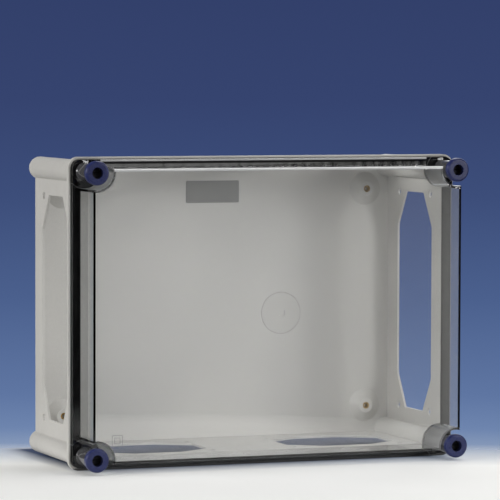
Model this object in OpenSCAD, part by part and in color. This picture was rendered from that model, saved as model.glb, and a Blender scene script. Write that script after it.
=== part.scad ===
// Modular insulated enclosure: moulded base with open wall windows, deep clear lid, captive cover screws.
// X runs across the front, Y runs from the lid to the back and Z is up. The base's lowest edge is at Z = 0.

/* [Enclosure] */
// Width over the rim
body_w = 500; // [470:1:750]
// Height over the rim
body_h = 375; // [350:1:600]
// Depth from the lid's front to the back
body_d = 230; // [215:1:300]
// Distance of each cover screw's axis from the rim's outer edges
screw_inset = 17.75; // [16.5:0.25:19]

/* [Base] */
// Thickness of the side, top and bottom walls
wall_t = 2.8; // [2.4:0.1:3.6]
// Thickness of the back wall
back_t = 3; // [2.4:0.1:5]
// Setback of the walls' outer faces from the rim's edge
wall_recess = 11.2; // [9:0.1:12]
// Outer radius of the rim's corners
rim_corner_r = 13; // [9:0.5:16]
// Thickness of the lip around the rim
lip_t = 2.3; // [1.5:0.1:3]
// Height of the lip in front of the ledge
lip_h = 3.5; // [2:0.1:5]
// Thickness of the ledge that carries the lid
ledge_t = 3.5; // [2.5:0.1:5]
// Diameter of each corner post
post_d = 27.5; // [24:0.5:31]
// Wall of the hollow corner posts
post_wall_t = 3.5; // [2.5:0.1:5]
// Radius of the post's rounded back end
post_end_r = 2; // [0.5:0.1:3]
// Radius of the base's back edges
back_edge_r = 5; // [2:0.5:5.5]
// Depth of the flare under the ledge at each corner
flare_h = 11; // [5:1:20]

/* [Windows] */
// Width of every window, along the depth
window_w = 106.5; // [60:0.5:110]
// Length of the side wall windows
side_window_l = 275.5; // [150:0.5:290]
// Length of the top and bottom wall windows
long_wall_window_l = 145; // [100:1:175]
// Distance between the two windows of the top and bottom walls
long_wall_window_pitch = 249; // [235:1:255]
// Distance from the window's middle to the back of the base
window_from_back = 87.5; // [80:0.5:89]
// Corner cut of the windows along their length
window_cut_l = 42; // [5:0.5:45]
// Corner cut of the windows along the depth
window_cut_d = 25.5; // [5:0.5:28]
// Diameter of the coupling holes beside the windows
flange_hole_d = 8.6; // [5:0.1:10]
// Distance between the coupling holes along the depth
flange_hole_pitch = 96; // [85:0.5:110]
// Setback of the coupling holes from the window's ends
flange_hole_setback = 1.25; // [0:0.25:4]

/* [Lid] */
// Distance of the raised panel's sides from the rim's edge
lid_inset = 13; // [12:0.25:15]
// Wall thickness of the lid
lid_t = 3; // [2:0.1:4]
// Height of the raised panel in front of the flange
lid_raise = 51; // [35:1:60]
// Radius of the panel's rounded front edge
panel_edge_r = 2.6; // [1:0.1:4]
// Radius of the corner notches about the screw axes
notch_r = 20; // [18:0.25:24]
// Thickness of the lid's flange
flange_t = 4; // [3:0.1:6]
// Thickness of the skirt around the flange
skirt_t = 2.2; // [1.6:0.1:3]
// Gap between the lid's skirt and the base
lid_gap = 0.9; // [0.3:0.05:1]
// Diameter of the screw sleeves in the lid's corners
sleeve_d = 22; // [20.5:0.25:24]
// Height of the flare at the sleeve's foot
sleeve_foot_h = 3; // [1:0.5:3.5]
// Diameter of the gate mark in the panel's middle
gate_d = 9; // [4:0.5:14]
// Depth of the gate mark
gate_depth = 0.8; // [0.2:0.1:1.5]
// Diameter of the thicker pad behind the gate mark
gate_pad_d = 50; // [20:1:70]
// Height of the thicker pad behind the gate mark
gate_pad_h = 0.6; // [0.3:0.1:1.5]

/* [Gasket] */
// Thickness of the fitted gasket
gasket_t = 5.3; // [3:0.1:8]
// Gap beside the gasket
gasket_gap = 0.4; // [0.3:0.1:1]
// Gap between the gasket and the ledge
seat_gap = 0.2; // [0.1:0.05:0.5]

/* [Cover screws] */
// Diameter of the knob
knob_d = 29; // [25:0.5:30]
// Thickness of the knob
knob_t = 7; // [5:0.5:12]
// Radius of the knob's front edge
knob_edge_r = 2.6; // [0.5:0.1:4]
// Diameter of the hole in the knob
socket_d = 13.5; // [9:0.25:13.75]
// Depth of the hole down to the slotted core
socket_depth = 10; // [4:0.5:12]
// Diameter of the knob's shaft inside the sleeve
shaft_d = 17; // [16:0.25:17.5]
// Radial gap between the knob's shaft and the sleeve
shaft_gap = 0.4; // [0.3:0.05:0.8]
// Gap between the end of the knob's shaft and the flange
shaft_end_gap = 0.4; // [0.3:0.05:1]
// Diameter of the core's shank
shank_d = 6; // [5:0.1:7]
// Thickness of the core's slotted head
core_head_t = 4; // [3:0.5:6]
// Width of the driver slot
slot_w = 2; // [1:0.1:3]
// Depth of the driver slot
slot_depth = 2; // [1:0.1:2.5]
// Gap between the knob and its core
core_gap = 0.05; // [0.02:0.01:0.1]
// Radial gap of the shank in the flange hole and in the post insert
shank_gap = 0.4; // [0.3:0.05:0.6]
// Travel of the screw from tight to free
screw_travel = 10; // [6:0.5:14]
// Spare travel between the free screw's ring and the flange
ring_spare = 1.5; // [0.5:0.1:3]
// Diameter of the retaining ring
ring_d = 12; // [10:0.5:14]
// Thickness of the retaining ring
ring_t = 1.2; // [0.8:0.1:2]
// Depth of the ring's groove in the shank
ring_groove = 0.6; // [0.3:0.1:0.8]
// Running gap between the ring and its groove
ring_gap = 0.06; // [0.03:0.01:0.1]
// Gap between the ring and the post's counterbore
counterbore_gap = 0.8; // [0.4:0.1:1.5]

/* [Inserts] */
// Outer diameter of the post inserts
post_insert_d = 10; // [9:0.25:12]
// Length of the post inserts
post_insert_l = 10; // [6:0.5:16]
// Depth of the hole for the screw's tip behind the post insert
tip_room = 4; // [2:0.5:10]
// Gap between an insert and its pocket
insert_gap = 0.05; // [0.02:0.01:0.1]
// Distance of the plate inserts from the rim's side edges
plate_inset_w = 46.5; // [45:0.5:100]
// Distance of the plate inserts from the rim's top and bottom edges
plate_inset_h = 48; // [45:0.5:90]
// Outer diameter of the plate inserts
plate_insert_d = 8.5; // [7:0.25:10]
// Bore of the plate inserts
plate_bore_d = 5; // [4:0.1:6]
// Length of the plate inserts
plate_insert_l = 8; // [5:0.5:8.5]
// Height of the plate bosses
plate_boss_h = 7; // [6:0.5:12]
// Diameter of the plate boss's flat end
plate_boss_d = 18; // [12:0.5:22]
// Diameter of the plate boss's foot
plate_boss_foot_d = 42; // [24:1:44]

/* [Hidden] */
$fn = 64;
CORNERS = ["top_left", "top_right", "bottom_left", "bottom_right"];
PIECES = ["screw_knob", "screw_core", "retaining_ring", "post_insert", "plate_insert"];

base_grey = [0.76, 0.75, 0.73];
lid_clear = [0.80, 0.86, 0.90, 0.35];
knob_blue = [0.14, 0.17, 0.40];
cut = 1;

// Depths measured from the lid's front
flange_front = lid_raise;
flange_back = flange_front + flange_t;
ledge_front = flange_back + gasket_t + seat_gap;
lip_front = ledge_front - lip_h;
ledge_back = ledge_front + ledge_t;
inner_back = body_d - back_t;
window_middle = body_d - window_from_back;

// Outlines of the base
wall_w = body_w - 2 * wall_recess;
wall_h = body_h - 2 * wall_recess;
cavity_w = wall_w - 2 * wall_t;
cavity_h = wall_h - 2 * wall_t;

// Outlines of the lid
panel_w = body_w - 2 * lid_inset;
panel_h = body_h - 2 * lid_inset;
skirt_in = lip_t + lid_gap;
channel_in = skirt_in + skirt_t;
skirt_back = ledge_front - lid_gap;
gasket_w = lid_inset - channel_in - 2 * gasket_gap;
gasket_r = notch_r - gasket_gap;

// Cover screw
sleeve_bore_d = shaft_d + 2 * shaft_gap;
shank_bore_d = shank_d + 2 * shank_gap;
shaft_end = flange_front - shaft_end_gap;
ring_front = flange_back + screw_travel + ring_spare;
counterbore_d = ring_d + 2 * counterbore_gap;
insert_front = ring_front + ring_t + counterbore_gap;
insert_back = insert_front + post_insert_l;
tip_end = insert_front + screw_travel - lid_gap;
groove_d = shank_d - 2 * ring_groove;

// Mounting plate inserts
boss_top = inner_back - plate_boss_h;

// Place of a corner, as signs of X and Z
function side(corner) = [corner % 2 == 0 ? -1 : 1, corner < 2 ? 1 : -1];
function screw_at(corner) = [
    side(corner)[0] * (body_w / 2 - screw_inset),
    side(corner)[1] * (body_h / 2 - screw_inset)
];
function plate_at(corner) = [
    side(corner)[0] * (body_w / 2 - plate_inset_w),
    side(corner)[1] * (body_h / 2 - plate_inset_h)
];

// Stretched octagon with its corners cut
function octagon(l, w, cut_l, cut_w) = [
    [l / 2, w / 2 - cut_w],
    [l / 2 - cut_l, w / 2],
    [cut_l - l / 2, w / 2],
    [-l / 2, w / 2 - cut_w],
    [-l / 2, cut_w - w / 2],
    [cut_l - l / 2, -w / 2],
    [l / 2 - cut_l, -w / 2],
    [l / 2, cut_w - w / 2]
];

// Extrudes an outline seen from the front between two depths
module slab(from, to) {
    translate([0, to - body_d / 2, body_h / 2])
        rotate([90, 0, 0])
            linear_extrude(to - from)
                children();
}

// Turns a profile of radius and depth about an axis along the depth
module turned(place, from) {
    translate([place[0], from - body_d / 2, body_h / 2 + place[1]])
        rotate([-90, 0, 0])
            rotate_extrude()
                children();
}

// Extrudes an outline of depth and height along the width
module bar_along_x(l) {
    translate([-l / 2, 0, 0])
        rotate([90, 0, 90])
            linear_extrude(l)
                children();
}

// Outline of the rim drawn in by t, with rounded corners
module rim_plate(t) {
    w = body_w - 2 * t;
    h = body_h - 2 * t;
    r = rim_corner_r - t;
    square([w - 2 * r, h], center = true);
    square([w, h - 2 * r], center = true);
    for (x = [-1, 1])
        for (z = [-1, 1])
            translate([x * (w / 2 - r), z * (h / 2 - r)])
                circle(r);
}

// Corner of an edge that a round takes off, with the edge at the origin
module edge_waste(r) {
    difference() {
        translate([-cut, -cut])
            square(r + cut);
        translate([r, r])
            circle(r);
    }
}

// Wall block of the base with its rounded back edges
module wall_block() {
    difference() {
        slab(ledge_front, body_d)
            square([wall_w, wall_h], center = true);
        for (s = [0, 1])
            translate([0, body_d / 2, body_h / 2])
                mirror([0, 0, s])
                    translate([0, 0, -wall_h / 2])
                        bar_along_x(wall_w + 2 * cut)
                            mirror([1, 0])
                                edge_waste(back_edge_r);
        for (s = [0, 1])
            mirror([s, 0, 0])
                translate([-wall_w / 2, body_d / 2, wall_recess - cut])
                    linear_extrude(wall_h + 2 * cut)
                        mirror([0, 1])
                            edge_waste(back_edge_r);
    }
}

module rim_block() {
    slab(lip_front, ledge_back)
        rim_plate(0);
}

module corner_post(corner) {
    l = body_d - ledge_front;
    r = post_d / 2;
    turned(screw_at(corner), ledge_front) {
        square([r, l - post_end_r]);
        square([r - post_end_r, l]);
        translate([r - post_end_r, l - post_end_r])
            circle(post_end_r);
    }
}

// Ledge around each screw, with the flare that joins it to the post
module corner_ledge(corner) {
    slab(ledge_front, ledge_back)
        intersection() {
            translate(screw_at(corner))
                circle(notch_r);
            square([wall_w, wall_h], center = true);
        }
    intersection() {
        turned(screw_at(corner), ledge_front)
            polygon([
                [0, 0],
                [notch_r, 0],
                [notch_r, ledge_t],
                [post_d / 2, ledge_t + flare_h],
                [0, ledge_t + flare_h]
            ]);
        slab(ledge_front, ledge_back + flare_h)
            square([wall_w, wall_h], center = true);
    }
}

module plate_boss(corner) {
    turned(plate_at(corner), boss_top)
        polygon([
            [0, 0],
            [plate_boss_d / 2, 0],
            [plate_boss_foot_d / 2, plate_boss_h],
            [plate_boss_foot_d / 2, plate_boss_h + back_t / 2],
            [0, plate_boss_h + back_t / 2]
        ]);
}

// Counterbore, insert pocket, tip hole and rear core of a corner post
module post_bores(corner) {
    core_front = insert_back + tip_room + post_wall_t;
    turned(screw_at(corner), ledge_front - cut)
        square([counterbore_d / 2, insert_front - ledge_front + cut]);
    turned(screw_at(corner), insert_front - cut)
        square([post_insert_d / 2 + insert_gap, post_insert_l + cut]);
    turned(screw_at(corner), insert_back - cut)
        square([shank_bore_d / 2, tip_room + cut]);
    turned(screw_at(corner), core_front)
        square([post_d / 2 - post_wall_t, body_d - core_front + cut]);
}

module side_windows() {
    translate([-wall_w / 2 - cut, window_middle - body_d / 2, body_h / 2])
        rotate([90, 0, 90])
            linear_extrude(wall_w + 2 * cut)
                polygon(octagon(window_w, side_window_l, window_cut_d, window_cut_l));
    for (y = [-1, 1])
        for (z = [-1, 1])
            translate([
                -wall_w / 2 - cut,
                window_middle - body_d / 2 + y * flange_hole_pitch / 2,
                body_h / 2 + z * (side_window_l / 2 - flange_hole_setback)
            ])
                rotate([0, 90, 0])
                    cylinder(d = flange_hole_d, h = wall_w + 2 * cut);
}

module long_wall_windows() {
    hole_x = long_wall_window_l / 2 - flange_hole_setback;
    for (s = [-1, 1])
        translate([s * long_wall_window_pitch / 2, window_middle - body_d / 2, wall_recess - cut]) {
            linear_extrude(wall_h + 2 * cut)
                polygon(octagon(long_wall_window_l, window_w, window_cut_l, window_cut_d));
            for (x = [-1, 1])
                for (y = [-1, 1])
                    translate([x * hole_x, y * flange_hole_pitch / 2, 0])
                        cylinder(d = flange_hole_d, h = wall_h + 2 * cut);
        }
}

module base_shell() {
    color(base_grey)
        difference() {
            union() {
                difference() {
                    union() {
                        rim_block();
                        wall_block();
                    }
                    slab(lip_front - cut, inner_back)
                        square([cavity_w, cavity_h], center = true);
                    slab(lip_front - cut, ledge_front)
                        rim_plate(lip_t);
                }
                for (corner = [0:3]) {
                    corner_post(corner);
                    corner_ledge(corner);
                    plate_boss(corner);
                }
            }
            for (corner = [0:3]) {
                post_bores(corner);
                turned(plate_at(corner), boss_top - cut)
                    square([plate_insert_d / 2 + insert_gap, plate_insert_l + cut]);
            }
            side_windows();
            long_wall_windows();
        }
}

// Raised panel's outline, drawn in by t, with round notches about the screws
module panel_outline(t) {
    difference() {
        square([panel_w - 2 * t, panel_h - 2 * t], center = true);
        for (corner = [0:3])
            translate(screw_at(corner))
                circle(notch_r + t);
    }
}

// Rounds taken off the panel's front edge, straight sides and notches
module panel_edge_cuts() {
    for (s = [0, 1])
        translate([0, -body_d / 2, body_h / 2])
            mirror([0, 0, s])
                translate([0, 0, -panel_h / 2])
                    bar_along_x(panel_w + 2 * cut)
                        edge_waste(panel_edge_r);
    for (s = [0, 1])
        mirror([s, 0, 0])
            translate([-panel_w / 2, -body_d / 2, lid_inset - cut])
                linear_extrude(panel_h + 2 * cut)
                    edge_waste(panel_edge_r);
    for (corner = [0:3])
        turned(screw_at(corner), 0)
            translate([notch_r, 0])
                edge_waste(panel_edge_r);
}

module lid_sleeve(corner) {
    r = sleeve_d / 2;
    l = flange_front - knob_t;
    turned(screw_at(corner), knob_t)
        polygon([
            [0, 0],
            [r, 0],
            [r, l - sleeve_foot_h],
            [r + sleeve_foot_h, l],
            [r + sleeve_foot_h, l + flange_t / 2],
            [0, l + flange_t / 2]
        ]);
}

module clear_lid() {
    color(lid_clear)
        difference() {
            union() {
                difference() {
                    slab(0, flange_back)
                        panel_outline(0);
                    panel_edge_cuts();
                }
                slab(flange_front, flange_back)
                    rim_plate(skirt_in);
                slab(flange_front, skirt_back)
                    difference() {
                        rim_plate(skirt_in);
                        rim_plate(channel_in);
                    }
                for (corner = [0:3])
                    lid_sleeve(corner);
            }
            difference() {
                slab(lid_t, flange_back + cut)
                    panel_outline(lid_t);
                turned([0, 0], 0)
                    square([gate_pad_d / 2, lid_t + gate_pad_h]);
            }
            turned([0, 0], -cut)
                square([gate_d / 2, gate_depth + cut]);
            for (corner = [0:3]) {
                turned(screw_at(corner), knob_t - cut)
                    square([sleeve_bore_d / 2, flange_front - knob_t + cut]);
                turned(screw_at(corner), flange_front - cut)
                    square([shank_bore_d / 2, flange_t + 2 * cut]);
            }
        }
}

// Closed ring that follows the lid's sides and bends round inside each cover screw
module lid_gasket() {
    outer_in = channel_in + gasket_gap;
    color("dimgray")
        slab(flange_back, ledge_front - seat_gap)
            difference() {
                square([body_w - 2 * outer_in, body_h - 2 * outer_in], center = true);
                difference() {
                    square([panel_w + 2 * gasket_gap, panel_h + 2 * gasket_gap], center = true);
                    for (corner = [0:3])
                        translate(screw_at(corner))
                            circle(gasket_r);
                }
                for (corner = [0:3])
                    translate(screw_at(corner)) {
                        circle(gasket_r - gasket_w);
                        translate([side(corner)[0] * notch_r / 2, side(corner)[1] * notch_r / 2])
                            square(notch_r, center = true);
                    }
            }
}

module screw_knob(corner) {
    r = knob_d / 2;
    color(knob_blue)
        turned(screw_at(corner), 0)
            difference() {
                union() {
                    translate([0, knob_edge_r])
                        square([r, knob_t - knob_edge_r]);
                    square([r - knob_edge_r, knob_t]);
                    translate([r - knob_edge_r, knob_edge_r])
                        circle(knob_edge_r);
                    square([shaft_d / 2, shaft_end]);
                }
                translate([0, -cut])
                    square([socket_d / 2, socket_depth + core_head_t + cut]);
                translate([0, -cut])
                    square([shank_d / 2 + core_gap, shaft_end + 2 * cut]);
            }
}

module screw_core(corner) {
    head_back = socket_depth + core_head_t;
    tip = shank_d / 6;
    color("silver")
        difference() {
            turned(screw_at(corner), 0)
                difference() {
                    union() {
                        translate([0, socket_depth])
                            square([socket_d / 2 - core_gap, core_head_t]);
                        translate([0, head_back])
                            polygon([
                                [0, -core_head_t / 2],
                                [shank_d / 2, -core_head_t / 2],
                                [shank_d / 2, tip_end - head_back - tip],
                                [shank_d / 2 - tip, tip_end - head_back],
                                [0, tip_end - head_back]
                            ]);
                    }
                    translate([groove_d / 2, ring_front - ring_gap])
                        square([ring_d, ring_t + 2 * ring_gap]);
                }
            translate([screw_at(corner)[0], socket_depth - body_d / 2, body_h / 2 + screw_at(corner)[1]])
                cube([socket_d, 2 * slot_depth, slot_w], center = true);
        }
}

// Snap ring, open on one side so that it slips into the shank's groove
module retaining_ring(corner) {
    mouth = groove_d - 2 * ring_gap;
    color("gray")
        difference() {
            turned(screw_at(corner), ring_front)
                translate([groove_d / 2 + ring_gap, 0])
                    square([ring_d / 2 - groove_d / 2 - ring_gap, ring_t]);
            translate([screw_at(corner)[0], ring_front - body_d / 2, body_h / 2 + screw_at(corner)[1]])
                translate([-mouth / 2, -cut, 0])
                    cube([mouth, ring_t + 2 * cut, ring_d]);
        }
}

module post_insert(corner) {
    color("goldenrod")
        turned(screw_at(corner), insert_front)
            translate([shank_bore_d / 2, 0])
                square([post_insert_d / 2 - shank_bore_d / 2, post_insert_l]);
}

module plate_insert(corner) {
    color("goldenrod")
        turned(plate_at(corner), boss_top)
            translate([plate_bore_d / 2, 0])
                square([plate_insert_d / 2 - plate_bore_d / 2, plate_insert_l]);
}

base_shell();
clear_lid();
lid_gasket();
for (corner = [0:3]) {
    screw_knob(corner);
    screw_core(corner);
    retaining_ring(corner);
    post_insert(corner);
    plate_insert(corner);
}
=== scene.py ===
import math

import bpy
from mathutils import Matrix, Vector


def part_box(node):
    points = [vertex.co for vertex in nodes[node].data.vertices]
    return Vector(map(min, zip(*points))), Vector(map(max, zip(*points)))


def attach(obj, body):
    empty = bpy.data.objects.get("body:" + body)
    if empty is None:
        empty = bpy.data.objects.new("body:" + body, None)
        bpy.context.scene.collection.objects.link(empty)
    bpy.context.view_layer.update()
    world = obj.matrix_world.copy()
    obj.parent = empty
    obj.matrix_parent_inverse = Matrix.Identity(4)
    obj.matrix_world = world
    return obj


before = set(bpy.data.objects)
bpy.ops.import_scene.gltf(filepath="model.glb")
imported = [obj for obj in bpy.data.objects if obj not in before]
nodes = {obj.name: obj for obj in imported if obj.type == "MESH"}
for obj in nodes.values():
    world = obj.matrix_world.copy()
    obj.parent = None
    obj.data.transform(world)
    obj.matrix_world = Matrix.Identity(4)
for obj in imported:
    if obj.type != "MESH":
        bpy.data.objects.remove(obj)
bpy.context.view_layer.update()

MM = 0.001
CORNERS = ("top_left", "top_right", "bottom_left", "bottom_right")

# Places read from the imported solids
base_low, base_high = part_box("base_shell")
middle_z = (base_low.z + base_high.z) / 2
lid_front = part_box("clear_lid")[0].y
gasket_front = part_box("lid_gasket")[0].y
knob_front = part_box("screw_knob_top_left")[0].y

# Sizes of the solids, as the part's source has them
lid_t = 3 * MM
back_wall_t = 3 * MM
skirt_inside = 5.4 * MM
screw_inset = 17.75 * MM
notch_radius = 20 * MM
knob_head = 7 * MM

# Lead of the cover screws, which is how far their joints travel in a turn
thread_pitch = 4 * MM

# Limits of the finishes, a little off the solids' faces
behind_panel = lid_front + lid_t + 0.2 * MM
back_wall_inside = base_high.y - back_wall_t
sleeve_radius = 11.3 * MM
corner_reach = 38 * MM
gate_reach = 30 * MM

# Camera, worked out from the photograph in the part's frame, with its focal length in pixels
CAMERA_PLACE = Vector((-1.46231, -3.82700, 0.48224))
CAMERA_YAW = 0.36574
CAMERA_PITCH = 0.0549
CAMERA_ROLL = 0.00281
CAMERA_SENSOR = 36
CAMERA_FOCUS = 3329.0
IMAGE_WIDTH = 500
CAMERA_LENS = CAMERA_FOCUS / IMAGE_WIDTH * CAMERA_SENSOR
TO_BACKDROP = (math.sin(CAMERA_YAW), math.cos(CAMERA_YAW), 0)

FLOOR_RADIUS = 1.8
FLOOR_SIDES = 96


def srgb(r, g, b):
    """Linear colour of a screen colour given in 0 to 255."""
    def linear(c):
        c = c / 255
        return c / 12.92 if c <= 0.04045 else ((c + 0.055) / 1.055) ** 2.4
    return linear(r), linear(g), linear(b), 1


def set_stops(band, stops):
    """Colours of a ramp, from the first place to the last."""
    band.elements.remove(band.elements[1])
    band.elements[0].position, band.elements[0].color = stops[0]
    for at, colour in stops[1:]:
        band.elements.new(at).color = colour


class ShaderTree:
    """Shader node tree, with short calls for the nodes that it uses."""

    def __init__(self, tree):
        self.tree = tree
        self.tree.nodes.clear()

    def node(self, kind, **values):
        made = self.tree.nodes.new(kind)
        for name, value in values.items():
            setattr(made, name, value)
        return made

    def link(self, source, target):
        self.tree.links.new(source, target)

    def put(self, value, socket):
        """Links another node's output to the socket, or sets it to a plain value."""
        if isinstance(value, bpy.types.NodeSocket):
            self.link(value, socket)
        else:
            socket.default_value = value

    def ramp(self, fac, *stops):
        made = self.node("ShaderNodeValToRGB")
        set_stops(made.color_ramp, stops)
        self.link(fac, made.inputs["Fac"])
        return made.outputs["Color"]

    def spread(self, fac, low, high, at=(0.3, 0.7)):
        """A number that runs from low to high with the pattern."""
        made = self.node("ShaderNodeMapRange")
        for name, value in zip(("From Min", "From Max", "To Min", "To Max"), (*at, low, high)):
            made.inputs[name].default_value = value
        self.link(fac, made.inputs["Value"])
        return made.outputs["Result"]

    def mix(self, fac, a, b, blend="MIX"):
        made = self.node("ShaderNodeMix", data_type="RGBA", blend_type=blend)
        for value, socket in ((fac, made.inputs[0]), (a, made.inputs[6]), (b, made.inputs[7])):
            self.put(value, socket)
        return made.outputs[2]

    def math(self, operation, a, b=0.0):
        made = self.node("ShaderNodeMath", operation=operation)
        for value, socket in ((a, made.inputs[0]), (b, made.inputs[1])):
            self.put(value, socket)
        return made.outputs["Value"]

    def between(self, value, low, high):
        return self.math("MULTIPLY", self.math("GREATER_THAN", value, low), self.math("LESS_THAN", value, high))

    def length(self, across, along):
        squares = self.math("ADD", self.math("POWER", across, 2.0), self.math("POWER", along, 2.0))
        return self.math("SQRT", squares)

    def along(self, place, direction):
        """How far a place or a direction reaches along a fixed direction."""
        made = self.node("ShaderNodeVectorMath", operation="DOT_PRODUCT")
        made.inputs[1].default_value = direction
        self.link(place, made.inputs[0])
        return made.outputs["Value"]

    def apart(self, place):
        made = self.node("ShaderNodeSeparateXYZ")
        self.link(place, made.inputs["Vector"])
        return made.outputs["X"], made.outputs["Y"], made.outputs["Z"]

    def either(self, fac, first, second, target):
        """Mixes two shaders by a factor and sends the result to the target."""
        made = self.node("ShaderNodeMixShader")
        for source, socket in zip((fac, first, second), made.inputs):
            self.link(source, socket)
        self.link(made.outputs["Shader"], target)


class Finish(ShaderTree):
    """Node tree of one finish."""

    def __init__(self, name):
        self.material = bpy.data.materials.new(name)
        self.material.use_nodes = True
        super().__init__(self.material.node_tree)
        self.output = self.node("ShaderNodeOutputMaterial")
        self.place = self.node("ShaderNodeTexCoord").outputs["Object"]

    def surface(self, **values):
        """The main shader, with its constant values."""
        made = self.node("ShaderNodeBsdfPrincipled")
        for name, value in values.items():
            made.inputs[name.replace("_", " ")].default_value = value
        self.link(made.outputs["BSDF"], self.output.inputs["Surface"])
        return made

    def noise(self, scale, detail=2, rough=0.5, stretch=None):
        made = self.node("ShaderNodeTexNoise")
        made.inputs["Scale"].default_value = scale
        made.inputs["Detail"].default_value = detail
        made.inputs["Roughness"].default_value = rough
        place = self.place
        if stretch:
            mapping = self.node("ShaderNodeMapping")
            mapping.inputs["Scale"].default_value = stretch
            self.link(place, mapping.inputs["Vector"])
            place = mapping.outputs["Vector"]
        self.link(place, made.inputs["Vector"])
        return made.outputs["Fac"]

    def relief(self, height, depth, strength=1.0, under=None):
        """Bump of the given depth in metres, on top of another normal."""
        made = self.node("ShaderNodeBump")
        made.inputs["Strength"].default_value = strength
        made.inputs["Distance"].default_value = depth
        self.link(height, made.inputs["Height"])
        if under is not None:
            self.link(under, made.inputs["Normal"])
        return made.outputs["Normal"]

    def soft_edges(self, radius):
        made = self.node("ShaderNodeBevel", samples=4)
        self.put(radius, made.inputs["Radius"])
        return made.outputs["Normal"]

    def above_middle(self):
        """1 above the middle of the rim, 0 below it."""
        return self.math("GREATER_THAN", self.apart(self.place)[2], middle_z)

    def upper_run(self, from_side):
        """1 along the rim's upper side, clear of its corners."""
        return self.math("MULTIPLY", self.above_middle(), self.math("GREATER_THAN", from_side, corner_reach))

    def rim_place(self):
        """Distances in from the rim's side edges and from its top or bottom edge, and the depth."""
        x, y, z = self.apart(self.place)
        from_side = self.math("SUBTRACT", base_high.x, self.math("ABSOLUTE", x))
        off_middle = self.math("ABSOLUTE", self.math("SUBTRACT", z, middle_z))
        from_end = self.math("SUBTRACT", base_high.z - middle_z, off_middle)
        return from_side, from_end, y


def moulded_grey():
    """Light grey thermoplastic with a fine spark-eroded grain and faint flow clouds, and painted shade in dark grey
    along the rim's foot."""
    foot_edge, foot_depth = (2.2 * MM, 3.0 * MM), 3.6 * MM
    lip_reach, post_reach, posts_from = 2.6 * MM, 41 * MM, 8 * MM
    edge_radius, more_on_lip, more_on_posts = 0.7 * MM, 1.5 * MM, 1.8 * MM
    f = Finish("moulded_grey")
    body = f.surface(IOR=1.5)
    cloud = f.ramp(f.noise(9, 3), (0.3, srgb(187, 185, 180)), (0.7, srgb(195, 193, 188)))
    fleck = f.ramp(f.noise(1400, 2), (0.35, srgb(240, 240, 240)), (0.65, srgb(255, 255, 255)))
    f.link(f.spread(f.noise(60, 4), 0.36, 0.50), body.inputs["Roughness"])
    from_side, from_end, depth = f.rim_place()
    # Painted shade: the rim's lower front lip is coloured dark grey, standing in for the deep shade there
    low = f.math("MULTIPLY", f.math("SUBTRACT", 1.0, f.above_middle()),
                 f.spread(from_end, 1.0, 0.0, at=foot_edge))
    foot = f.math("MULTIPLY", low, f.math("LESS_THAN", depth, base_low.y + foot_depth))
    grey = f.mix(1.0, cloud, fleck, "MULTIPLY")
    f.link(f.mix(foot, grey, srgb(62, 61, 60)), body.inputs["Base Color"])
    lip = f.math("LESS_THAN", f.math("MINIMUM", from_side, from_end), lip_reach)
    post = f.math("LESS_THAN", f.math("MAXIMUM", from_side, from_end), post_reach)
    behind = f.math("GREATER_THAN", depth, base_low.y + posts_from)
    round_post = f.math("MULTIPLY", f.math("MULTIPLY", post, behind), more_on_posts)
    radius = f.math("ADD", edge_radius, f.math("MAXIMUM", f.math("MULTIPLY", lip, more_on_lip), round_post))
    grain = f.relief(f.noise(1900, 2, 0.6), 0.00006, 0.35, f.soft_edges(radius))
    f.link(grain, body.inputs["Normal"])
    return f.material


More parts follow.
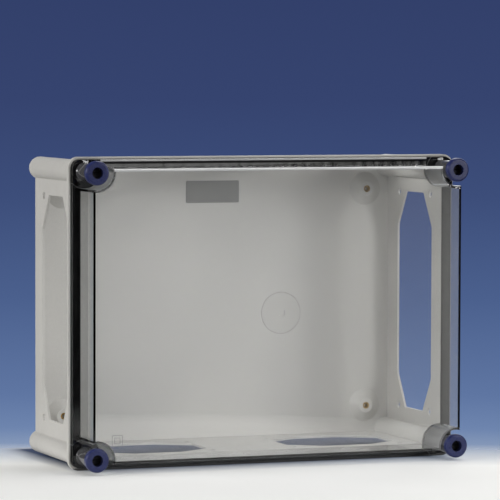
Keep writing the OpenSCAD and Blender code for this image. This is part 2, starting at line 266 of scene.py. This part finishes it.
def clear_plastic():
    """Clear polished sheet, faintly cool, with painted shade in smoky grey on the screw sleeves, and black where
    the foam gasket is bonded inside its skirt. Lamps shine through it onto what it covers."""
    margin, notch_margin, bond_depth = 0.1 * MM, 0.15 * MM, 4 * MM
    fold_band, skirt_band, flat_from = (12.9 * MM, 16.2 * MM), (3.1 * MM, 5.45 * MM), 17 * MM
    panel_haze, painted_highlight, painted_sleeve_shade = 0.03, 0.55, 0.6
    foam_matt, notch_matt = 0.8, 0.3
    edge_radius, less_at_gate = 1.4 * MM, 0.7 * MM
    f = Finish("clear_plastic")
    body = f.surface(IOR=1.585)
    from_side, from_end, depth = f.rim_place()
    inset = f.math("MINIMUM", from_side, from_end)
    # Black foam bonded inside the skirt
    bonded = f.math("GREATER_THAN", depth, gasket_front - margin)
    inner = f.math("GREATER_THAN", inset, skirt_inside - margin)
    skirt_end = f.math("GREATER_THAN", depth, gasket_front + bond_depth)
    foam = f.math("MULTIPLY", bonded, f.math("MAXIMUM", inner, skirt_end))
    clear = f.ramp(f.noise(5, 2), (0.3, (0.945, 0.955, 0.96, 1)), (0.7, (0.965, 0.97, 0.975, 1)))
    side = f.math("GREATER_THAN", depth, behind_panel)
    clear = f.mix(side, clear, (0.87, 0.88, 0.885, 1))
    off_screw = f.length(f.math("SUBTRACT", from_side, screw_inset), f.math("SUBTRACT", from_end, screw_inset))
    sleeve = f.math("LESS_THAN", off_screw, sleeve_radius)
    # Painted shade: the screw sleeves are coloured smoky grey
    clear = f.mix(sleeve, clear, srgb(84, 84, 86))
    f.link(f.mix(foam, clear, srgb(20, 20, 21)), body.inputs["Base Color"])
    # Faint hazy panel, painted shade on the sleeves, and a painted highlight that whitens the fold and skirt
    #     along the top
    panel = f.math("LESS_THAN", depth, behind_panel)
    upper = f.upper_run(from_side)
    fold = f.math("MULTIPLY", panel, f.between(from_end, *fold_band))
    lit_edge = f.math("MULTIPLY", upper, f.math("MAXIMUM", fold, f.between(from_end, *skirt_band)))
    flat = f.math("MULTIPLY", panel, f.math("GREATER_THAN", inset, flat_from))
    haze_and_painted_light = f.math("ADD", f.math("MULTIPLY", flat, panel_haze), f.math("MULTIPLY", lit_edge, painted_highlight))
    haze_and_painted_light = f.math("MAXIMUM", haze_and_painted_light, f.math("MULTIPLY", sleeve, painted_sleeve_shade))
    f.link(f.math("SUBTRACT", 1.0, f.math("MAXIMUM", foam, haze_and_painted_light)), body.inputs["Transmission Weight"])
    polish = f.spread(f.noise(18, 3), 0.0, 0.012)
    notch = f.math("COMPARE", off_screw, notch_radius)
    notch.node.inputs[2].default_value = notch_margin
    matt = f.math("MAXIMUM", f.math("MULTIPLY", foam, foam_matt), f.math("MULTIPLY", notch, notch_matt))
    f.link(f.math("MAXIMUM", polish, matt), body.inputs["Roughness"])
    f.link(f.spread(foam, 0.5, 0.0, at=(0, 1)), body.inputs["Specular IOR Level"])
    # What lamps send through the sheet, less of it where they graze it
    facing = f.node("ShaderNodeLayerWeight")
    facing.inputs["Blend"].default_value = 0.25
    through = f.node("ShaderNodeBsdfTransparent")
    passed = f.ramp(facing.outputs["Facing"], (0.12, (0.97, 0.975, 0.98, 1)), (0.5, (0.66, 0.67, 0.68, 1)),
                    (0.85, (0.2, 0.21, 0.22, 1)))
    f.link(passed, through.inputs["Color"])
    # Rounded edges round the gate mark and along the top
    off_gate = f.length(f.math("SUBTRACT", base_high.x, from_side),
                        f.math("SUBTRACT", base_high.z - middle_z, from_end))
    near_gate = f.math("LESS_THAN", off_gate, gate_reach)
    rounded = f.math("MAXIMUM", near_gate, f.math("MULTIPLY", upper, f.math("LESS_THAN", from_end, flat_from)))
    fine = f.math("SUBTRACT", edge_radius, f.math("MULTIPLY", near_gate, less_at_gate))
    f.link(f.soft_edges(f.math("MULTIPLY", rounded, fine)), body.inputs["Normal"])
    path = f.node("ShaderNodeLightPath")
    f.either(path.outputs["Is Shadow Ray"], body.outputs["BSDF"], through.outputs["BSDF"],
             f.output.inputs["Surface"])
    return f.material


def black_foam():
    """Foamed black gasket with fine open pores, and a painted highlight in light grey along its inner edge on the
    upper run.
    """
    top_light_edge = (8.2 * MM, 8.9 * MM)
    f = Finish("black_foam")
    body = f.surface(IOR=1.45)
    pores = f.node("ShaderNodeTexVoronoi")
    pores.inputs["Scale"].default_value = 1100
    f.link(f.place, pores.inputs["Vector"])
    dark = f.ramp(pores.outputs["Distance"], (0.1, srgb(14, 14, 15)), (0.6, srgb(38, 38, 39)))
    pale = f.ramp(pores.outputs["Distance"], (0.1, srgb(140, 140, 138)), (0.6, srgb(166, 166, 164)))
    from_side, from_end = f.rim_place()[:2]
    # Painted light: the inner edge along the upper run is coloured light grey
    painted_top_light = f.math("MULTIPLY", f.upper_run(from_side), f.spread(from_end, 0.0, 1.0, at=top_light_edge))
    f.link(f.mix(painted_top_light, dark, pale), body.inputs["Base Color"])
    f.link(f.spread(f.noise(300), 0.7, 0.9), body.inputs["Roughness"])
    f.link(f.relief(pores.outputs["Distance"], 0.0002, 0.5), body.inputs["Normal"])
    return f.material


def knob_blue():
    """Deep blue moulded plastic, half gloss, with faint clouds and a fine skin, and painted shade in dark grey on
    the shank behind the head.
    """
    f = Finish("knob_blue")
    body = f.surface(IOR=1.5, Specular_IOR_Level=0.28)
    blue = f.ramp(f.noise(140, 3), (0.3, srgb(37, 43, 84)), (0.7, srgb(43, 50, 93)))
    # Painted shade: the shank behind the head is coloured dark grey
    shank = f.math("GREATER_THAN", f.rim_place()[2], knob_front + knob_head)
    f.link(f.mix(shank, blue, srgb(33, 32, 40)), body.inputs["Base Color"])
    f.link(f.spread(f.noise(500, 3), 0.24, 0.36), body.inputs["Roughness"])
    f.link(f.relief(f.noise(2500, 2), 0.00004, 0.25, f.soft_edges(0.5 * MM)), body.inputs["Normal"])
    return f.material


def plated_steel():
    """Zinc plated steel with turning marks round the screw's axis."""
    f = Finish("plated_steel")
    body = f.surface(Metallic=1.0)
    f.link(f.ramp(f.noise(350, 4), (0.3, srgb(158, 160, 163)), (0.7, srgb(188, 189, 190))),
           body.inputs["Base Color"])
    marks = f.noise(700, 3, stretch=(0.15, 1.0, 0.15))
    f.link(f.spread(marks, 0.24, 0.42), body.inputs["Roughness"])
    f.link(f.relief(marks, 0.00004, 0.3, f.soft_edges(0.25 * MM)), body.inputs["Normal"])
    return f.material


def blackened_steel():
    """Oiled black steel of the cover screws, a little brighter along its turning marks."""
    f = Finish("blackened_steel")
    body = f.surface(Metallic=1.0)
    marks = f.noise(700, 3, stretch=(0.15, 1.0, 0.15))
    f.link(f.ramp(marks, (0.3, srgb(20, 20, 22)), (0.7, srgb(38, 38, 42))), body.inputs["Base Color"])
    f.link(f.spread(f.noise(900, 3), 0.32, 0.5), body.inputs["Roughness"])
    f.link(f.relief(marks, 0.00004, 0.3, f.soft_edges(0.25 * MM)), body.inputs["Normal"])
    return f.material


def turned_brass():
    """Plain turned brass, a little tarnished."""
    f = Finish("turned_brass")
    body = f.surface(Metallic=1.0)
    f.link(f.ramp(f.noise(420, 4), (0.3, srgb(132, 104, 58)), (0.7, srgb(182, 150, 90))),
           body.inputs["Base Color"])
    f.link(f.spread(f.noise(900, 3), 0.22, 0.40), body.inputs["Roughness"])
    f.link(f.relief(f.noise(1800, 2), 0.00004, 0.3, f.soft_edges(0.3 * MM)), body.inputs["Normal"])
    return f.material


def grey_film():
    """Thin grey film with a satin skin."""
    f = Finish("grey_film")
    body = f.surface(IOR=1.45)
    f.link(f.ramp(f.noise(45, 3), (0.3, srgb(112, 112, 109)), (0.7, srgb(120, 120, 117))),
           body.inputs["Base Color"])
    f.link(f.spread(f.noise(700, 2), 0.34, 0.46), body.inputs["Roughness"])
    f.link(f.relief(f.noise(1500, 2), 0.00003, 0.2), body.inputs["Normal"])
    return f.material


def frosted_line():
    """Matt moulded line on the clear lid."""
    f = Finish("frosted_line")
    body = f.surface(IOR=1.585, Transmission_Weight=0.15)
    f.link(f.ramp(f.noise(900, 2), (0.3, srgb(92, 93, 93)), (0.7, srgb(108, 109, 109))),
           body.inputs["Base Color"])
    f.link(f.spread(f.noise(1500, 2), 0.5, 0.7), body.inputs["Roughness"])
    return f.material


class Shape:
    """Geometry node tree with named sizes that makes one piece's mesh."""

    KINDS = {float: "NodeSocketFloat", int: "NodeSocketInt", tuple: "NodeSocketVector"}

    def __init__(self, name, **sizes):
        self.name = name
        self.sizes = sizes
        self.tree = bpy.data.node_groups.new(name, "GeometryNodeTree")
        self.keys = {}
        for size, value in sizes.items():
            self.keys[size] = self.tree.interface.new_socket(
                size, in_out="INPUT", socket_type=self.KINDS[type(value)]).identifier
        self.keys["finish"] = self.tree.interface.new_socket(
            "finish", in_out="INPUT", socket_type="NodeSocketMaterial").identifier
        self.tree.interface.new_socket("mesh", in_out="OUTPUT", socket_type="NodeSocketGeometry")
        self.given = self.tree.nodes.new("NodeGroupInput")
        self.result = self.tree.nodes.new("NodeGroupOutput")

    def size(self, name):
        return self.given.outputs[name]

    def node(self, kind, inputs=None, **values):
        """A node with its own settings and inputs, each a value or another node's output."""
        made = self.tree.nodes.new(kind)
        for name, value in values.items():
            setattr(made, name, value)
        for key, value in (inputs or {}).items():
            if isinstance(value, bpy.types.NodeSocket):
                self.tree.links.new(value, made.inputs[key])
            else:
                made.inputs[key].default_value = value
        return made

    def finish_with(self, geometry):
        real = self.node("GeometryNodeRealizeInstances", {"Geometry": geometry})
        painted = self.node("GeometryNodeSetMaterial", {
            "Geometry": real.outputs["Geometry"], "Material": self.given.outputs["finish"]})
        self.tree.links.new(painted.outputs["Geometry"], self.result.inputs["mesh"])

    def make(self, piece, finish, smooth=False, **sizes):
        """Runs the tree with these sizes and keeps the result as a plain mesh piece."""
        holder = bpy.data.objects.new(piece + "_shape", bpy.data.meshes.new(piece + "_shape"))
        bpy.context.scene.collection.objects.link(holder)
        runner = holder.modifiers.new("shape", "NODES")
        runner.node_group = self.tree
        for size, value in {**self.sizes, **sizes}.items():
            runner[self.keys[size]] = value
        runner[self.keys["finish"]] = finish
        seen = holder.evaluated_get(bpy.context.evaluated_depsgraph_get())
        mesh = bpy.data.meshes.new_from_object(seen)
        mesh.name = piece
        bpy.data.objects.remove(holder)
        mesh.polygons.foreach_set("use_smooth", [smooth] * len(mesh.polygons))
        made = bpy.data.objects.new(piece, mesh)
        bpy.context.scene.collection.objects.link(made)
        return made


def thread_shape():
    """Ridge of a coarse thread that winds along the depth, at each point of a rectangle of places."""
    s = Shape("thread_ridge", radius=0.003, ridge=0.0002, pitch=0.004, turns=2.0, steps=24, spread_x=0.0,
              spread_z=0.0, count=1, centre=(0.0, 0.0, 0.0))
    length = s.node("ShaderNodeMath", {0: s.size("pitch"), 1: s.size("turns")}, operation="MULTIPLY")
    winding = s.node("GeometryNodeCurveSpiral", {
        "Resolution": s.size("steps"), "Rotations": s.size("turns"), "Start Radius": s.size("radius"),
        "End Radius": s.size("radius"), "Height": length.outputs["Value"]})
    outline = s.node("GeometryNodeCurvePrimitiveCircle", {"Resolution": 6, "Radius": s.size("ridge")})
    ridge = s.node("GeometryNodeCurveToMesh", {
        "Curve": winding.outputs["Curve"], "Profile Curve": outline.outputs["Curve"], "Fill Caps": True})
    laid = s.node("GeometryNodeTransform", {
        "Geometry": ridge.outputs["Mesh"], "Rotation": (-math.pi / 2, 0, 0)})
    places = s.node("GeometryNodeMeshGrid", {
        "Size X": s.size("spread_x"), "Size Y": s.size("spread_z"), "Vertices X": s.size("count"),
        "Vertices Y": s.size("count")})
    upright = s.node("GeometryNodeTransform", {
        "Geometry": places.outputs["Mesh"], "Rotation": (math.pi / 2, 0, 0), "Translation": s.size("centre")})
    each = s.node("GeometryNodeInstanceOnPoints", {
        "Points": upright.outputs["Geometry"], "Instance": laid.outputs["Geometry"]})
    s.finish_with(each.outputs["Instances"])
    return s


def outline_shape():
    """Square line with rounded corners, half sunk in the lid's panel."""
    s = Shape("square_line", side=0.013, line=0.0005, corner=0.0008, centre=(0.0, 0.0, 0.0))
    square = s.node("GeometryNodeCurvePrimitiveQuadrilateral", {"Width": s.size("side"), "Height": s.size("side")})
    rounded = s.node("GeometryNodeFilletCurve", {
        "Curve": square.outputs["Curve"], "Radius": s.size("corner"), "Count": 6}, mode="POLY")
    bead = s.node("GeometryNodeCurvePrimitiveCircle", {"Resolution": 8, "Radius": s.size("line")})
    swept = s.node("GeometryNodeCurveToMesh", {
        "Curve": rounded.outputs["Curve"], "Profile Curve": bead.outputs["Curve"]})
    placed = s.node("GeometryNodeTransform", {
        "Geometry": swept.outputs["Mesh"], "Rotation": (math.pi / 2, 0, 0), "Translation": s.size("centre")})
    s.finish_with(placed.outputs["Geometry"])
    return s


def film_shape():
    """Thin rounded plate in the plane of the back wall."""
    s = Shape("film_plate", width=0.07, height=0.027, corner=0.002, thickness=0.0002, centre=(0.0, 0.0, 0.0))
    edge = s.node("GeometryNodeCurvePrimitiveQuadrilateral", {"Width": s.size("width"), "Height": s.size("height")})
    rounded = s.node("GeometryNodeFilletCurve", {
        "Curve": edge.outputs["Curve"], "Radius": s.size("corner"), "Count": 8}, mode="POLY")
    sheet = s.node("GeometryNodeFillCurve", {"Curve": rounded.outputs["Curve"]}, mode="NGONS")
    back = s.node("GeometryNodeFlipFaces", {"Mesh": sheet.outputs["Mesh"]})
    raised = s.node("GeometryNodeExtrudeMesh", {
        "Mesh": sheet.outputs["Mesh"], "Offset Scale": s.size("thickness"), "Individual": False})
    whole = s.node("GeometryNodeJoinGeometry")
    s.tree.links.new(raised.outputs["Mesh"], whole.inputs["Geometry"])
    s.tree.links.new(back.outputs["Mesh"], whole.inputs["Geometry"])
    closed = s.node("GeometryNodeMergeByDistance", {"Geometry": whole.outputs["Geometry"], "Distance": 1e-6})
    placed = s.node("GeometryNodeTransform", {
        "Geometry": closed.outputs["Geometry"], "Rotation": (math.pi / 2, 0, 0), "Translation": s.size("centre")})
    s.finish_with(placed.outputs["Geometry"])
    return s


def dress_solids():
    """Gives every CAD solid its finish."""
    grey, clear, foam = moulded_grey(), clear_plastic(), black_foam()
    blue, steel, black, brass = knob_blue(), plated_steel(), blackened_steel(), turned_brass()
    finishes = {"base_shell": grey, "clear_lid": clear, "lid_gasket": foam}
    for corner in CORNERS:
        finishes["screw_knob_" + corner] = blue
        finishes["screw_core_" + corner] = black
        finishes["retaining_ring_" + corner] = steel
        finishes["post_insert_" + corner] = brass
        finishes["plate_insert_" + corner] = brass
    for name, finish in finishes.items():
        slots = nodes[name].data.materials
        slots.clear()
        slots.append(finish)
    return black, brass


def screw_threads(ridge, black):
    """Thread on the free end of each cover screw."""
    for corner in CORNERS:
        low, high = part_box("screw_core_" + corner)
        centre = (low + high) / 2
        turns, tip = 2.0, 1.4 * MM
        start = high.y - tip - thread_pitch * turns
        made = ridge.make("screw_thread_" + corner, black, smooth=True, radius=3 * MM, ridge=0.25 * MM,
                          pitch=thread_pitch, turns=turns, steps=28, centre=(centre.x, start, centre.z))
        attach(made, "screw_" + corner)


def insert_threads(ridge, brass):
    """Thread inside the four inserts that take a mounting plate."""
    low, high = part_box("plate_insert_bottom_left")
    far_low, far_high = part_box("plate_insert_top_right")
    first, last = (low + high) / 2, (far_low + far_high) / 2
    pitch, turns, inset = 1 * MM, 6.0, 0.8 * MM
    middle = ((first.x + last.x) / 2, low.y + inset, (first.z + last.z) / 2)
    made = ridge.make("plate_insert_threads", brass, smooth=True, radius=2.5 * MM, ridge=0.22 * MM, pitch=pitch,
                      turns=turns, steps=24, spread_x=last.x - first.x, spread_z=last.z - first.z, count=2,
                      centre=middle)
    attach(made, "base")


def blank_film():
    """Plain film high on the back wall."""
    thickness = 0.25 * MM
    centre = (-5.3 * MM, back_wall_inside, middle_z + 137.6 * MM)
    made = film_shape().make("blank_film", grey_film(), width=71.4 * MM, height=28 * MM, corner=2 * MM,
                             thickness=thickness, centre=centre)
    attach(made, "base")


def double_square():
    """Plain square in a square, moulded inside the lid's lower left corner."""
    finish = frosted_line()
    shape = outline_shape()
    at, line = (-207.3 * MM, lid_front + lid_t, middle_z - 147 * MM), 0.32 * MM
    outer = shape.make("mark_outer_square", finish, side=12.7 * MM, line=line, corner=0.6 * MM, centre=at)
    inner = shape.make("mark_inner_square", finish, side=6.8 * MM, line=line, corner=0.4 * MM, centre=at)
    for made in (outer, inner):
        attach(made, "lid")


def studio_floor():
    """Plain pale floor with painted shade in blue grey under the enclosure, that fades out into the backdrop's
    colour.
    """
    shade_lean, shade_side = 0.08, (0.222, 0.255)
    shade_front, shade_back = (-0.115, -0.05), (0.175, 0.2)
    fade_back, fade_round, fade_centre = (-0.075, 0.15), (0.4, 0.56), (-0.08, -0.26, 0)
    f = Finish("pale_floor")
    body = f.surface(Roughness=0.8, Specular_IOR_Level=0.0)
    pale = f.ramp(f.noise(3, 2), (0.3, srgb(248, 248, 246)), (0.7, srgb(251, 251, 249)))
    x, y = f.apart(f.place)[:2]
    # Painted shade: the floor is coloured blue grey under and behind the enclosure
    off_centre = f.math("SUBTRACT", f.math("ABSOLUTE", x), f.math("MULTIPLY", y, shade_lean))
    inside_x = f.spread(off_centre, 1.0, 0.0, at=shade_side)
    front = f.spread(y, 0.0, 1.0, at=shade_front)
    back = f.spread(y, 1.0, 0.0, at=shade_back)
    under = f.math("MULTIPLY", inside_x, f.math("MULTIPLY", front, back))
    f.link(f.mix(under, pale, srgb(80, 90, 115)), body.inputs["Base Color"])
    past = f.spread(f.along(f.place, TO_BACKDROP), 0.0, 1.0, at=fade_back)
    reach = f.node("ShaderNodeVectorMath", operation="DISTANCE")
    reach.inputs[1].default_value = fade_centre
    f.link(f.place, reach.inputs[0])
    far = f.spread(reach.outputs["Value"], 0.0, 1.0, at=fade_round)
    fade = f.math("MULTIPLY", f.math("MAXIMUM", past, far), f.math("SUBTRACT", 1.0, under))
    clear = f.node("ShaderNodeBsdfTransparent")
    f.either(fade, body.outputs["BSDF"], clear.outputs["BSDF"], f.output.inputs["Surface"])
    mesh = bpy.data.meshes.new("studio_floor")
    turns = [2 * math.pi * i / FLOOR_SIDES for i in range(FLOOR_SIDES)]
    rim = [(FLOOR_RADIUS * math.cos(a), FLOOR_RADIUS * math.sin(a), base_low.z) for a in turns]
    mesh.from_pydata(rim, [], [list(range(FLOOR_SIDES))])
    mesh.materials.append(f.material)
    floor = bpy.data.objects.new("studio_floor", mesh)
    bpy.context.scene.collection.objects.link(floor)


def studio_world():
    """Soft neutral light all round, in front of a plain blue grey backdrop."""
    world = bpy.data.worlds.new("studio")
    bpy.context.scene.world = world
    world.use_nodes = True
    w = ShaderTree(world.node_tree)
    output = w.node("ShaderNodeOutputWorld")
    direction = w.node("ShaderNodeTexCoord").outputs["Generated"]
    height = w.apart(direction)[2]
    shade = w.ramp(w.spread(height, 0.0, 1.0, at=(-0.16, 0.04)),
                   (0.0, srgb(226, 228, 230)), (0.15, srgb(206, 212, 222)), (0.22, srgb(146, 163, 190)),
                   (0.26, srgb(110, 133, 174)), (0.31, srgb(95, 118, 162)), (0.455, srgb(75, 96, 141)),
                   (0.605, srgb(61, 78, 122)), (0.75, srgb(54, 68, 111)), (1.0, srgb(49, 62, 104)))
    toward = w.along(direction, TO_BACKDROP)
    path = w.node("ShaderNodeLightPath")
    glossy, passed = path.outputs["Is Glossy Ray"], path.outputs["Is Transmission Ray"]
    # The room beside the backdrop and behind the camera is dim where the lid mirrors it
    mirrored = w.math("GREATER_THAN", glossy, passed)
    beside = w.math("MULTIPLY", w.spread(toward, 0.0, 1.0, at=(0.93, 0.8)), mirrored)
    behind = w.math("MULTIPLY", w.spread(toward, 0.0, 1.0, at=(-0.35, -0.6)),
                    w.spread(height, 0.0, 1.0, at=(-0.2, -0.17)))
    dim = w.math("MAXIMUM", beside, w.math("MULTIPLY", behind, glossy))
    backdrop = w.node("ShaderNodeBackground")
    w.link(w.mix(dim, shade, srgb(44, 43, 42)), backdrop.inputs["Color"])
    soft = w.node("ShaderNodeBackground")
    soft.inputs["Color"].default_value = (1.0, 0.99, 0.97, 1)
    soft.inputs["Strength"].default_value = 0.14
    seen = w.math("MAXIMUM", path.outputs["Is Camera Ray"], w.math("MAXIMUM", glossy, passed))
    w.either(seen, soft.outputs["Background"], backdrop.outputs["Background"], output.inputs["Surface"])


def lamp(name, place, aim, size, power, colour=(1, 1, 1)):
    """Square lamp, hidden from the camera and from what is seen through the lid."""
    data = bpy.data.lights.new(name, "AREA")
    data.shape = "SQUARE"
    data.size = size
    data.energy = power
    data.color = colour
    made = bpy.data.objects.new(name, data)
    made.location = place
    made.rotation_mode = "QUATERNION"
    made.rotation_quaternion = (Vector(aim) - Vector(place)).to_track_quat("-Z", "Y")
    made.visible_camera = False
    made.visible_transmission = False
    bpy.context.scene.collection.objects.link(made)


def studio_lamps():
    """Broad lamps all round and one small key, none of which shows in the lid's panel."""
    aim = (0, 0, middle_z)
    lamp("key", (-1.63, -4.34, 1.04), aim, 0.14, 20, (1.0, 0.985, 0.96))
    lamp("front_soft", (0.5, -3.9, 1.6), aim, 2.4, 8, (1.0, 0.99, 0.97))
    lamp("right_front", (2.2, -3.3, 0.9), aim, 1.1, 44)
    lamp("left_fill", (-4.2, -0.5, 1.4), aim, 1.6, 84)
    lamp("left_back", (-4.0, 1.4, 1.2), aim, 1.6, 72)
    lamp("top_fill", (0.8, -0.3, 2.7), aim, 1.3, 28)
    lamp("top_back", (0.85, 1.2, 2.1), aim, 1.2, 10)
    lamp("back_fill", (2.4, 3.6, 1.8), aim, 2.2, 30)


def photo_camera():
    """Camera at the photograph's angle."""
    cos, sin = math.cos, math.sin
    ahead = Vector((sin(CAMERA_YAW) * cos(CAMERA_PITCH), cos(CAMERA_YAW) * cos(CAMERA_PITCH), -sin(CAMERA_PITCH)))
    level = Vector((cos(CAMERA_YAW), -sin(CAMERA_YAW), 0))
    above = level.cross(ahead)
    right = level * cos(CAMERA_ROLL) + above * sin(CAMERA_ROLL)
    up = above * cos(CAMERA_ROLL) - level * sin(CAMERA_ROLL)
    turn = Matrix((right, up, -ahead)).transposed()
    data = bpy.data.cameras.new("camera")
    data.sensor_width = CAMERA_SENSOR
    data.lens = CAMERA_LENS
    data.clip_end = 100
    made = bpy.data.objects.new("camera", data)
    made.matrix_world = Matrix.Translation(CAMERA_PLACE) @ turn.to_4x4()
    bpy.context.scene.collection.objects.link(made)
    bpy.context.scene.camera = made


bpy.context.scene.view_settings.view_transform = "Standard"
photo_camera()
black, brass = dress_solids()
thread_ridge = thread_shape()
screw_threads(thread_ridge, black)
insert_threads(thread_ridge, brass)
blank_film()
double_square()
studio_floor()
studio_world()
studio_lamps()
